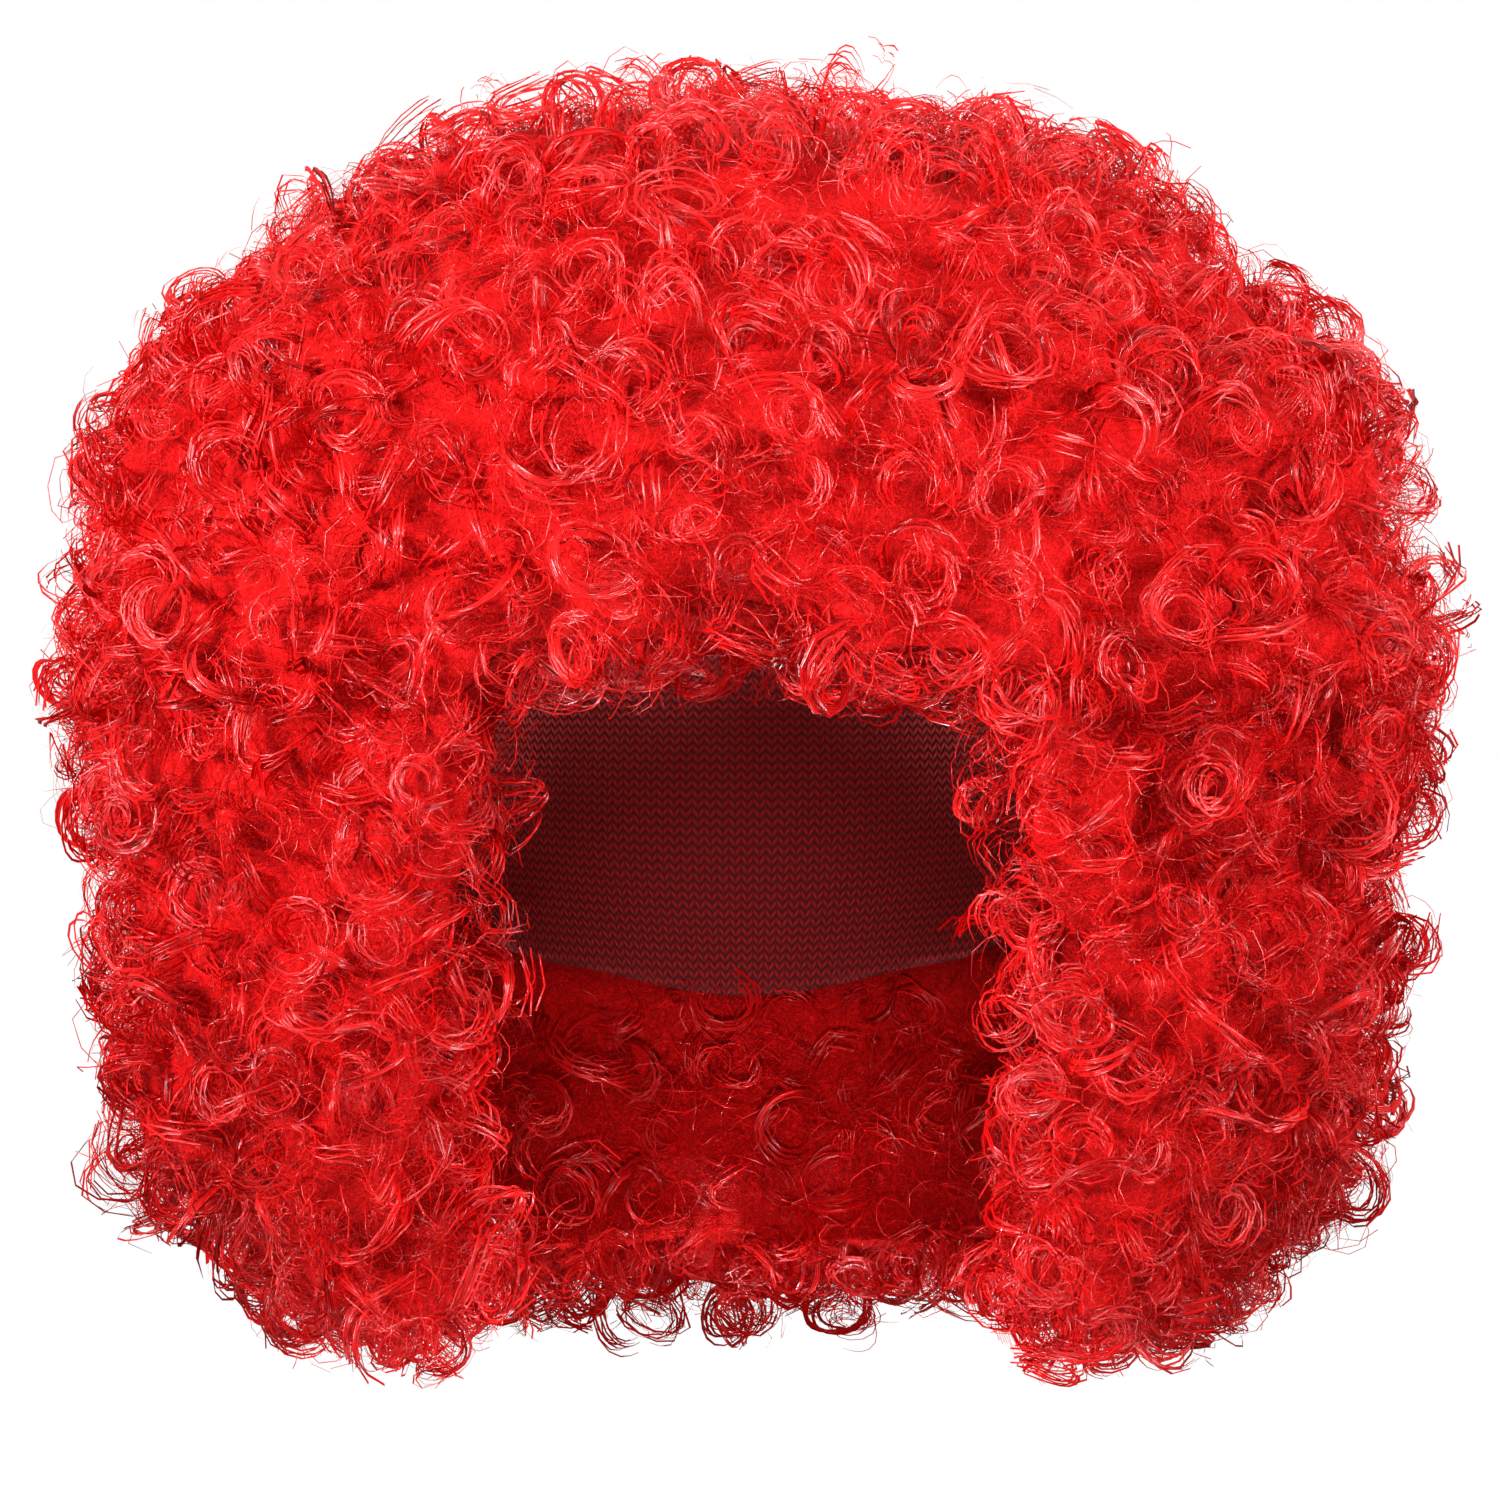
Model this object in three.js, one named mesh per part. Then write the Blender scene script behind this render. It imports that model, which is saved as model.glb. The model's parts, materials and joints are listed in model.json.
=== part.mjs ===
// Afro wig: a stretch cap with five rows of curled hair weft sewn round it, open at the face and neck.
// Millimetres, +Z up. The face looks along -Y, and the origin is where the top of the head meets the cap.
import * as THREE from "three";
import { mergeVertices } from "three/addons/utils/BufferGeometryUtils.js";

// The cap
const CAP_WALL = 2;
const CAP_STEPS_AROUND = 36;
const CAP_STEPS_UP = 10;
const CAP_COLOUR = 0x5a070c;

// The hair
const SEAT_GAP = 0.9; // between the cap and the hair rooted on it
const ROW_GAP = 0.9; // between one row of weft and the next
const LOCK_RISE = 15; // how far the largest lock swells from its crease
const LOCK_ROUND = 0.92; // 1 gives locks that meet in a sharp crease, 0 a smooth row
const LOCK_SPREAD = 0.45; // the share by which the smallest lock swells less
const MEAN_SWELL = 0.55; // the share of LOCK_RISE that lies on the outline of HAIR_SECTIONS
const SCALLOP = 6; // how far a row's lower edge hangs down under each of its locks and draws up between
const FRINGE_ARCH = 9; // how far the fringe is drawn up over the middle of the face
const END_BULGE = 9; // how far the ends of a row round out into the face opening
const STEPS_PER_LOCK = 4; // along the outside, round and up
const ROOT_STEPS_PER_LOCK = 2; // along the cap, up
const HAIR_COLOUR = 0xd01018;

// Half an ellipsoid for the skull, above the ears. Its rows continue HEAD_BELOW upwards.
const SKULL = { rise: 105, halfWidth: 77, front: 98, back: 101, face: 27, steps: 5 };

// What the hair hangs round below the skull, from the neck up: level is the height, front and back are
// the reaches from the middle, and face is half the angle, in degrees, that is left open for the face.
const HEAD_BELOW = [
  { level: -217, halfWidth: 55, front: 68, back: 58, face: 49 },
  { level: -188, halfWidth: 58, front: 74, back: 62, face: 48 },
  { level: -156, halfWidth: 68, front: 86, back: 79, face: 44 },
  { level: -130, halfWidth: 75, front: 95, back: 95, face: 38 },
];

// The outline of the hair, from the inner edge of its hem up to the crown, with the same columns.
const HAIR_SECTIONS = [
  { level: -223, halfWidth: 66, front: 80, back: 70, face: 49 },
  { level: -230, halfWidth: 86, front: 88, back: 98, face: 49 },
  { level: -226, halfWidth: 110, front: 96, back: 122, face: 48 },
  { level: -208, halfWidth: 132, front: 103, back: 140, face: 47 },
  { level: -186, halfWidth: 147, front: 108, back: 151, face: 45 },
  { level: -150, halfWidth: 152, front: 114, back: 159, face: 42 },
  { level: -112, halfWidth: 159, front: 123, back: 164, face: 37 },
  { level: -80, halfWidth: 163, front: 134, back: 165, face: 27 },
  { level: -42, halfWidth: 161, front: 139, back: 163, face: 27 },
  { level: -5, halfWidth: 146, front: 131, back: 151, face: 27 },
  { level: 27, halfWidth: 120, front: 111, back: 128, face: 27 },
  { level: 48, halfWidth: 86, front: 81, back: 93, face: 27 },
  { level: 62, halfWidth: 46, front: 45, back: 50, face: 27 },
  { level: 66, halfWidth: 0, front: 0, back: 0, face: 27 },
];

// The rows of weft, from the nape up: the stretch of HAIR_SECTIONS that a row covers and the stretch of
// the head that its roots take, both as row numbers of the tables, and its locks, round and up. A row
// with ends leaves the face open.
const WEFT_ROWS = [
  { name: "weft_row_nape", hair: [0, 4.5], root: [0, 3.3], locks: 17, lockRows: 3, ends: true },
  { name: "weft_row_ear", hair: [4.5, 7], root: [3.3, 4.8], locks: 17, lockRows: 2, ends: true },
  { name: "weft_row_fringe", hair: [7, 9], root: [4.8, 6.2], locks: 20, lockRows: 2, ends: false },
  { name: "weft_row_upper", hair: [9, 11], root: [6.2, 7.6], locks: 20, lockRows: 2, ends: false },
  { name: "weft_crown", hair: [11, 13], root: [7.6, 9], locks: 10, lockRows: 2, ends: false },
];
const FRINGE = WEFT_ROWS.findIndex((row) => !row.ends);
const CROWN = WEFT_ROWS.length - 1;

// The rounded ends of a row: how much of its cut is left, and the share of END_BULGE it is moved out by.
const END_ROUND = [
  { left: 0.4, out: 1 },
  { left: 0.8, out: 0.65 },
];

// The cap's edge: its height by the angle from the face round to the nape.
const CAP_RIM = [
  { angle: 0, level: -66 },
  { angle: 35, level: -72 },
  { angle: 75, level: -126 },
  { angle: 100, level: -118 },
  { angle: 140, level: -142 },
  { angle: 180, level: -152 },
];

const COLUMNS = ["level", "halfWidth", "front", "back", "face"];
const REACHES = ["halfWidth", "front", "back"];

// The skull's rows, from its widest level up to the crown.
function skullSections() {
  return Array.from({ length: SKULL.steps + 1 }, (_, i) => {
    const turn = ((Math.PI / 2) * i) / SKULL.steps;
    const section = { level: SKULL.rise * (Math.sin(turn) - 1), face: SKULL.face };
    for (const reach of REACHES) section[reach] = i === SKULL.steps ? 0 : SKULL[reach] * Math.cos(turn);
    return section;
  });
}

const HEAD_SECTIONS = [...HEAD_BELOW, ...skullSections()];

// A row of a table, carried on past its ends. Past the crown the outline comes down on the far side.
function sectionRow(table, i) {
  const last = table.length - 1;
  if (i >= 0 && i <= last) return table[i];
  const section = {};
  if (i > last) {
    Object.assign(section, table[2 * last - i]);
    for (const reach of REACHES) section[reach] *= -1;
  } else {
    for (const column of COLUMNS) section[column] = 2 * table[0][column] - table[-i][column];
  }
  return section;
}

// The section at a fractional row number, on a Catmull-Rom curve through the rows.
function sectionAt(table, at) {
  const i = Math.min(Math.floor(at), table.length - 2);
  const t = at - i;
  const [a, b, c, d] = [-1, 0, 1, 2].map((step) => sectionRow(table, i + step));
  const section = {};
  for (const column of COLUMNS) {
    const slopeB = (c[column] - a[column]) / 2;
    const slopeC = (d[column] - b[column]) / 2;
    const rise = c[column] - b[column];
    const bend = (slopeB + slopeC - 2 * rise) * t + 3 * rise - 2 * slopeB - slopeC;
    section[column] = b[column] + t * (slopeB + t * bend);
  }
  return section;
}

// A point of the outline, by the angle from the face towards +X and the row number.
function outlinePoint(table, angle, at) {
  const section = sectionAt(table, at);
  const side = Math.sin(angle);
  const ahead = Math.cos(angle);
  const reach = ahead > 0 ? section.front : section.back;
  const atCrown = section.halfWidth < 1e-6;
  const radius = atCrown ? 0 : 1 / Math.hypot(side / section.halfWidth, ahead / reach);
  return new THREE.Vector3(radius * side, -radius * ahead, section.level);
}

// The same point moved out by a distance, square to the outline.
function offsetPoint(table, angle, at, distance) {
  const point = outlinePoint(table, angle, at);
  const step = 0.01;
  if (at > table.length - 1 - step) return point.setZ(point.z + distance);
  const below = outlinePoint(table, angle, Math.max(at - step, 0));
  const up = outlinePoint(table, angle, at + step).sub(below);
  const round = outlinePoint(table, angle + step, at).sub(outlinePoint(table, angle - step, at));
  return point.addScaledVector(round.cross(up).normalize(), distance);
}

// How many rows of the table make up a distance along the outline, near a row number.
function rowsFor(table, at, distance) {
  const step = 0.05;
  const near = THREE.MathUtils.clamp(at, step, table.length - 1 - step);
  const [low, high] = [near - step, near + step].map((end) => outlinePoint(table, Math.PI / 2, end));
  return (distance * 2 * step) / low.distanceTo(high);
}

// A fixed spread of numbers from 0 to 1 for the sizes of locks.
function spread(row, lock, layer) {
  const wave = Math.sin(row * 127.1 + lock * 311.7 + layer * 74.7) * 43758.5453;
  return wave - Math.floor(wave);
}

// The swell of one lock across its width or height, where place runs from 0 to 1 through the lock.
function lockRound(place) {
  return Math.sqrt(1 - LOCK_ROUND * (2 * place - 1) ** 2);
}

// How far the hair of a row stands off its outline, by the number of locks round and up.
function swell(rowNumber, around, up) {
  const row = WEFT_ROWS[rowNumber];
  const onEdge = up === 0 || up === row.lockRows;
  if (onEdge) return 0;
  const layer = Math.floor(up);
  const along = around + (layer % 2) / 2;
  const lock = Math.floor(along);
  const size = 1 - LOCK_SPREAD * spread(rowNumber, lock % row.locks, layer);
  return LOCK_RISE * (size * lockRound(along - lock) * lockRound(up - layer) - MEAN_SWELL);
}

// The angle at a share of the way round a row, from one end of it to the other.
function angleAt(row, table, at, share) {
  const open = row.ends ? THREE.MathUtils.degToRad(sectionAt(table, at).face) : 0;
  return open + share * 2 * (Math.PI - open);
}

// How far the lower edge of a row hangs down at an angle, where share is the way round the row. The hem
// and the crown are even.
function hang(rowNumber, share, angle) {
  if (rowNumber === 0 || rowNumber === CROWN) return 0;
  const lock = share * WEFT_ROWS[rowNumber].locks;
  const scallop = SCALLOP * (1 - 4 * Math.abs(lock - Math.floor(lock) - 0.5));
  const ahead = Math.abs(THREE.MathUtils.euclideanModulo(angle + Math.PI, 2 * Math.PI) - Math.PI);
  const inFace = Math.max(0, 1 - ahead / THREE.MathUtils.degToRad(SKULL.face));
  return scallop - (rowNumber === FRINGE ? FRINGE_ARCH * inFace : 0);
}

// The row number of the hair's lower or upper edge, at a share of the way round.
function hairEdge(rowNumber, share, upper) {
  const row = WEFT_ROWS[rowNumber];
  const at = row.hair[upper ? 1 : 0];
  if (upper && rowNumber === CROWN) return at;
  const above = upper ? rowNumber + 1 : rowNumber;
  const angle = angleAt(row, HAIR_SECTIONS, at, share);
  const shareAbove = WEFT_ROWS[above].ends ? share : angle / (2 * Math.PI);
  const gap = upper ? ROW_GAP / 2 : -ROW_GAP / 2;
  return at - rowsFor(HAIR_SECTIONS, at, hang(above, shareAbove, angle) + gap);
}

// A ring of points moved towards its middle and then sideways: one step of a rounded end.
function endRing(ring, left, sideways) {
  const middle = new THREE.Vector3();
  for (const point of ring) middle.addScaledVector(point, 1 / ring.length);
  return ring.map((point) => middle.clone().lerp(point, left).add(sideways));
}

// The rings of an open row with its ends rounded out into the face opening.
function withRoundEnds(rings) {
  const [first, last] = [rings[0], rings.at(-1)];
  const outward = (from, to) => {
    const way = from[0].clone().sub(to[0]).setZ(0).normalize();
    return END_ROUND.map(({ left, out }) => endRing(from, left, way.clone().multiplyScalar(out * END_BULGE)));
  };
  return [...outward(first, rings[1]), ...rings, ...outward(last, rings.at(-2)).reverse()];
}

// One closed body from rings of points, each the outline of a cut through it. The rings join up when
// closed is true, and otherwise the first and last are covered. A cover runs between the two edges of a
// ring: its first outer points and the rest, which come back the other way. The last side of the rings is
// split along its other diagonal, to lie evenly beside the side of the next body that faces it.
function bodyThroughRings(rings, outer, closed) {
  const size = rings[0].length;
  const corners = [];
  const triangle = (a, b, c) => corners.push(a, b, c);
  const joins = closed ? rings.length : rings.length - 1;
  for (let i = 0; i < joins; i++) {
    const [here, next] = [rings[i], rings[(i + 1) % rings.length]];
    for (let j = 0; j < size; j++) {
      const k = (j + 1) % size;
      const lastSide = k === 0;
      triangle(here[j], next[j], lastSide ? here[k] : next[k]);
      triangle(lastSide ? next[j] : here[j], next[k], here[k]);
    }
  }
  const inner = size - outer;
  const facing = (j) => size - 1 - Math.round((j * (inner - 1)) / (outer - 1));
  const cover = (ring, put) => {
    for (let j = 0; j < outer - 1; j++) {
      put(ring[j], ring[j + 1], ring[facing(j)]);
      if (facing(j + 1) !== facing(j)) put(ring[j + 1], ring[facing(j + 1)], ring[facing(j)]);
    }
  };
  if (!closed) {
    cover(rings[0], triangle);
    cover(rings.at(-1), (a, b, c) => triangle(a, c, b));
  }
  return solidGeometry(corners);
}

// A geometry from corners, three to a triangle, without the triangles that shrink to a line at a pole.
function solidGeometry(corners) {
  const places = new Float32Array(corners.flatMap((corner) => corner.toArray()));
  const loose = new THREE.BufferGeometry().setAttribute("position", new THREE.BufferAttribute(places, 3));
  const merged = mergeVertices(loose, 1e-3);
  const kept = [];
  for (let i = 0; i < merged.index.count; i += 3) {
    const [a, b, c] = [0, 1, 2].map((corner) => merged.index.getX(i + corner));
    if (a !== b && b !== c && c !== a) kept.push(a, b, c);
  }
  merged.setIndex(kept);
  merged.computeVertexNormals();
  return merged;
}

// A row of weft: curled locks along its outside and its roots along the cap.
function weftGeometry(rowNumber) {
  const row = WEFT_ROWS[rowNumber];
  const stepsAround = row.locks * STEPS_PER_LOCK;
  const stepsUp = row.lockRows * STEPS_PER_LOCK;
  const rootSteps = row.lockRows * ROOT_STEPS_PER_LOCK;
  const half = ROW_GAP / 2;
  const rootLow = row.root[0] + rowsFor(HEAD_SECTIONS, row.root[0], half);
  const rootHigh = row.root[1] - (rowNumber === CROWN ? 0 : rowsFor(HEAD_SECTIONS, row.root[1], half));
  const rings = [];
  for (let i = 0; i < stepsAround + (row.ends ? 1 : 0); i++) {
    const share = i / stepsAround;
    const [hairLow, hairHigh] = [hairEdge(rowNumber, share, false), hairEdge(rowNumber, share, true)];
    const ring = [];
    for (let j = 0; j <= stepsUp; j++) {
      const at = THREE.MathUtils.lerp(hairLow, hairHigh, j / stepsUp);
      const level = THREE.MathUtils.lerp(...row.hair, j / stepsUp);
      const lift = swell(rowNumber, i / STEPS_PER_LOCK, j / STEPS_PER_LOCK);
      ring.push(offsetPoint(HAIR_SECTIONS, angleAt(row, HAIR_SECTIONS, level, share), at, lift));
    }
    for (let j = rootSteps; j >= 0; j--) {
      const at = THREE.MathUtils.lerp(rootLow, rootHigh, j / rootSteps);
      const angle = angleAt(row, HEAD_SECTIONS, at, share);
      ring.push(offsetPoint(HEAD_SECTIONS, angle, at, CAP_WALL + SEAT_GAP));
    }
    rings.push(ring);
  }
  return bodyThroughRings(row.ends ? withRoundEnds(rings) : rings, stepsUp + 1, !row.ends);
}

// The height of the cap's edge, by the angle from the face, with round turns between the table's rows.
function rimLevel(angle) {
  const turn = THREE.MathUtils.radToDeg(Math.acos(Math.cos(angle)));
  const i = Math.max(1, CAP_RIM.findIndex((row) => row.angle >= turn - 1e-6));
  const [a, b] = [CAP_RIM[i - 1], CAP_RIM[i]];
  return THREE.MathUtils.lerp(a.level, b.level, THREE.MathUtils.smoothstep(turn, a.angle, b.angle));
}

// The row number of the head's table at a height.
function headRowAt(level) {
  let [low, high] = [0, HEAD_SECTIONS.length - 1];
  for (let i = 0; i < 40; i++) {
    const middle = (low + high) / 2;
    if (sectionAt(HEAD_SECTIONS, middle).level < level) low = middle;
    else high = middle;
  }
  return low;
}

// The cap: one wall from its edge to the crown.
function capGeometry() {
  const crown = HEAD_SECTIONS.length - 1;
  const rings = [];
  for (let i = 0; i < CAP_STEPS_AROUND; i++) {
    const angle = (i / CAP_STEPS_AROUND) * 2 * Math.PI;
    const rim = headRowAt(rimLevel(angle));
    const rows = Array.from({ length: CAP_STEPS_UP + 1 }, (_, j) => {
      return THREE.MathUtils.lerp(rim, crown, j / CAP_STEPS_UP);
    });
    const outside = rows.map((at) => offsetPoint(HEAD_SECTIONS, angle, at, CAP_WALL));
    const inside = rows.map((at) => offsetPoint(HEAD_SECTIONS, angle, at, 0)).reverse();
    rings.push([...outside, ...inside]);
  }
  return bodyThroughRings(rings, CAP_STEPS_UP + 1, true);
}

function piece(name, geometry, colour, roughness) {
  const material = new THREE.MeshStandardMaterial({ color: colour, roughness, metalness: 0 });
  const mesh = new THREE.Mesh(geometry, material);
  mesh.name = name;
  return mesh;
}

const wig = new THREE.Group();
wig.add(piece("cap", capGeometry(), CAP_COLOUR, 0.9));
WEFT_ROWS.forEach((row, i) => {
  wig.add(piece(row.name, weftGeometry(i), HAIR_COLOUR, 0.45));
});

export default wig;
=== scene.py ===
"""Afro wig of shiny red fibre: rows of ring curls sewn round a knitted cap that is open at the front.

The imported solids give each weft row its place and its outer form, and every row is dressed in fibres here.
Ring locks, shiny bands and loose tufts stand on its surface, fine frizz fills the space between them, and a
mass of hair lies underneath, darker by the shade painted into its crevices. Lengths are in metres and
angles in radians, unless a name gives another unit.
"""

import json
import logging
import math
from dataclasses import dataclass, field, fields
from enum import Enum
from typing import Any

import bmesh
import bpy
import numpy as np
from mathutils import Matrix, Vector, noise
from mathutils.bvhtree import BVHTree

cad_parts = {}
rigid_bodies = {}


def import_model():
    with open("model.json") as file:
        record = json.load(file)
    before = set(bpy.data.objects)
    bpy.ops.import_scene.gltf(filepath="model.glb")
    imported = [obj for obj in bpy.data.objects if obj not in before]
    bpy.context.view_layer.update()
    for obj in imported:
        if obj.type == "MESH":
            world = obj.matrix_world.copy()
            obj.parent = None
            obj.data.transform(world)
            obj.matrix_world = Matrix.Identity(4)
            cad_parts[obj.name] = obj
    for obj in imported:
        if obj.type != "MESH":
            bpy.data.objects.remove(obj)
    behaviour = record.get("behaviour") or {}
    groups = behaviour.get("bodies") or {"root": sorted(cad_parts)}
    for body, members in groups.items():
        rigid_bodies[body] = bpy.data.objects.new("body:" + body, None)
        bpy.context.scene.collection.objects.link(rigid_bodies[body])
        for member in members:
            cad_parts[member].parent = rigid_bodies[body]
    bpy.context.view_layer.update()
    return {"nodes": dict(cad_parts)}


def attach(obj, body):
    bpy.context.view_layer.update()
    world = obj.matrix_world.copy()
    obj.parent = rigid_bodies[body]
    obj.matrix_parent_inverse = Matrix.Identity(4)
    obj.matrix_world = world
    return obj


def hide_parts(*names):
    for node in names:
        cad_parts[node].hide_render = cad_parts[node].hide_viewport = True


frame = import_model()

Colour = tuple[float, float, float]
Place = tuple[float, float, float]
Span = tuple[float, float]

MM = 0.001
WHITE = (1.0, 1.0, 1.0, 1.0)
BODY = "root"
FIBRE_SLOT = "curled_fibre"
KNIT_SLOT = "cap_knit"
CAP_NODE = "cap"
NAPE_NODE = "weft_row_nape"
ROW_NODES = (NAPE_NODE, "weft_row_ear", "weft_row_fringe", "weft_row_upper", "weft_crown")

# The map of a fibre: its name, and its rows of tones from dull to bright.
MAP_NAME = "OFBake"
TONE_ROWS = 32

# Corners of a solid that are nearer than this are one corner.
MERGE_REACH = 0.01 * MM

log = logging.getLogger("afro_wig")


class Value:
    """A number inside a node tree: arithmetic on it adds Math nodes."""

    def __init__(self, sheet: "NodeSheet", socket: bpy.types.NodeSocket) -> None:
        """Keeps the sheet that takes the nodes and the socket that carries the number."""
        self.sheet = sheet
        self.socket = socket

    def __add__(self, other: "Value | float") -> "Value":
        """Gives self + other."""
        return self.sheet.math("ADD", self, other)

    def __radd__(self, other: float) -> "Value":
        """Gives other + self."""
        return self.sheet.math("ADD", other, self)

    def __sub__(self, other: "Value | float") -> "Value":
        """Gives self - other."""
        return self.sheet.math("SUBTRACT", self, other)

    def __rsub__(self, other: float) -> "Value":
        """Gives other - self."""
        return self.sheet.math("SUBTRACT", other, self)

    def __mul__(self, other: "Value | float") -> "Value":
        """Gives self * other."""
        return self.sheet.math("MULTIPLY", self, other)

    def __rmul__(self, other: float) -> "Value":
        """Gives other * self."""
        return self.sheet.math("MULTIPLY", other, self)

    def __truediv__(self, other: "Value | float") -> "Value":
        """Gives self / other."""
        return self.sheet.math("DIVIDE", self, other)

    def __pow__(self, other: float) -> "Value":
        """Gives self to the power of other."""
        return self.sheet.math("POWER", self, other)

    def sine(self) -> "Value":
        """Gives the sine of self."""
        return self.sheet.math("SINE", self)

    def clamped(self) -> "Value":
        """Gives self held between 0 and 1."""
        return self.sheet.math("ADD", self, 0.0, clamp=True)


class NodeSheet:
    """A node tree that is filled through one method."""

    def __init__(self, tree: bpy.types.NodeTree) -> None:
        """Starts on an empty tree."""
        self.tree = tree
        tree.nodes.clear()

    @staticmethod
    def find(sockets: Any, key: str | int) -> bpy.types.NodeSocket:
        """Finds a socket by its place, or the first one in use with a name.

        Args:
            sockets: A node's inputs or outputs.
            key: The socket's number or name.

        Returns:
            The socket.
        """
        if isinstance(key, int):
            return sockets[key]
        return next(socket for socket in sockets if socket.name == key and socket.enabled)

    def node(
        self, kind: str, settings: dict[str, Any] | None = None, inputs: dict[str | int, Any] | None = None
    ) -> bpy.types.Node:
        """Adds a node, sets it up and feeds its sockets.

        Args:
            kind: The node's type.
            settings: Its own properties, set first.
            inputs: For each input, a plain value, a Value or a socket to link from.

        Returns:
            The node.
        """
        node = self.tree.nodes.new(kind)
        for key, setting in (settings or {}).items():
            setattr(node, key, setting)
        for key, source in (inputs or {}).items():
            socket = self.find(node.inputs, key)
            if isinstance(source, Value):
                self.tree.links.new(source.socket, socket)
            elif isinstance(source, bpy.types.NodeSocket):
                self.tree.links.new(source, socket)
            else:
                socket.default_value = source
        return node

    def out(
        self,
        kind: str,
        output: str | int = 0,
        settings: dict[str, Any] | None = None,
        inputs: dict[str | int, Any] | None = None,
    ) -> bpy.types.NodeSocket:
        """Adds a node as node() does, and gives the output of that number or name."""
        return self.find(self.node(kind, settings, inputs).outputs, output)

    def math(self, operation: str, *terms: Value | float, clamp: bool = False) -> Value:
        """Adds one Math node on the terms, and gives its result, held between 0 and 1 if it is clamped."""
        settings = {"operation": operation, "use_clamp": clamp}
        return Value(self, self.out("ShaderNodeMath", 0, settings, dict(enumerate(terms))))

    def split(self, vector: bpy.types.NodeSocket) -> tuple[Value, Value, Value]:
        """Splits a vector.

        Args:
            vector: The vector.

        Returns:
            Its X, Y and Z.
        """
        node = self.node("ShaderNodeSeparateXYZ", None, {"Vector": vector})
        x, y, z = (Value(self, node.outputs[axis]) for axis in "XYZ")
        return x, y, z


class MaterialSheet(NodeSheet):
    """The node tree of one material, with one Principled shader."""

    def __init__(self, name: str) -> None:
        """Makes an empty material.

        Args:
            name: The material's name.
        """
        self.material = bpy.data.materials.new(name)
        self.material.use_nodes = True
        super().__init__(self.material.node_tree)

    def mixed(self, share: Value, first: Any, second: Any) -> bpy.types.NodeSocket:
        """Mixes two colours.

        Args:
            share: How much of the second there is, 0 to 1.
            first: A colour or a colour socket.
            second: A colour or a colour socket.

        Returns:
            The mixed colour.
        """
        sides = [(*side, 1.0) if isinstance(side, tuple) else side for side in (first, second)]
        inputs = {"Factor": share, "A": sides[0], "B": sides[1]}
        return self.out("ShaderNodeMix", "Result", {"data_type": "RGBA"}, inputs)

    def map_values(self) -> tuple[Value, Value]:
        """Gives the piece's own map: the way along it and the way across it."""
        return self.split(self.out("ShaderNodeUVMap", "UV", {"uv_map": MAP_NAME}))[:2]

    def object_place(self) -> bpy.types.NodeSocket:
        """Gives the place on the piece, in metres."""
        return self.out("ShaderNodeTexCoord", "Object")

    def clouds(self, size: float, detail: float, swirl: float = 0.0) -> Value:
        """Gives soft noise, 0 to 1: clouds of a size, with layers of detail, distorted by the swirl."""
        inputs = {"Vector": self.object_place(), "Scale": 1.0 / size, "Detail": detail, "Distortion": swirl}
        return Value(self, self.out("ShaderNodeTexNoise", "Fac", None, inputs))

    def raised(self, height: Value, relief: float, strength: float = 1.0) -> bpy.types.NodeSocket:
        """Gives the normal of a surface with fine relief, which is how far a height of 1 stands out."""
        inputs = {"Strength": strength, "Distance": relief, "Height": height}
        return self.out("ShaderNodeBump", "Normal", None, inputs)

    def shaded(self, inputs: dict[str, Any]) -> bpy.types.Material:
        """Ends the tree in a Principled shader.

        Args:
            inputs: What the shader's sockets hold.

        Returns:
            The finished material.
        """
        surface = self.out("ShaderNodeBsdfPrincipled", "BSDF", None, inputs)
        self.node("ShaderNodeOutputMaterial", None, {"Surface": surface})
        return self.material


@dataclass(frozen=True)
class FibreFinish:
    """Shiny synthetic fibre. Its map runs from root to tip one way and from dull to bright the other.

    A ribbon of a few fibres side by side is rounded in streaks, with painted shade in the gaps between them.
    Shade is also painted on towards the root, which lies deep in the hair.
    """

    name: str = "shiny_red_fibre"
    deep: Colour = (0.88, 0.006, 0.007)
    bright: Colour = (1.0, 0.014, 0.014)
    # Painted shade: the colour towards the root, which lies deep in the hair.
    root: Colour = (0.84, 0.003, 0.004)
    root_end: float = 0.4
    roughness: float = 0.25
    ior: float = 1.55
    gloss: float = 0.6
    streaks: int = 0
    # Painted shade between the streaks of a ribbon, and how it fades out towards their middles.
    gap: Colour = (0.78, 0.003, 0.004)
    gap_fade: float = 0.5
    relief: float = 0.10 * MM

    def material(self) -> bpy.types.Material:
        """Makes the material.

        Returns:
            The material.
        """
        sheet = MaterialSheet(self.name)
        along, tone = sheet.map_values()
        body = sheet.mixed(tone, self.deep, self.bright)
        # Painted shade: darker towards the root, deep in the hair.
        colour = sheet.mixed((along / self.root_end).clamped(), self.root, body)
        inputs = {"Roughness": self.roughness, "IOR": self.ior, "Specular IOR Level": self.gloss}
        if self.streaks:
            side = sheet.math("FRACT", tone * TONE_ROWS)
            height = sheet.math("ABSOLUTE", (side * (math.pi * self.streaks)).sine())
            # Painted shade in the gaps between the streaks.
            colour = sheet.mixed(height ** self.gap_fade, self.gap, colour)
            inputs["Normal"] = sheet.raised(height, self.relief)
        return sheet.shaded({"Base Color": colour, **inputs})


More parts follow.
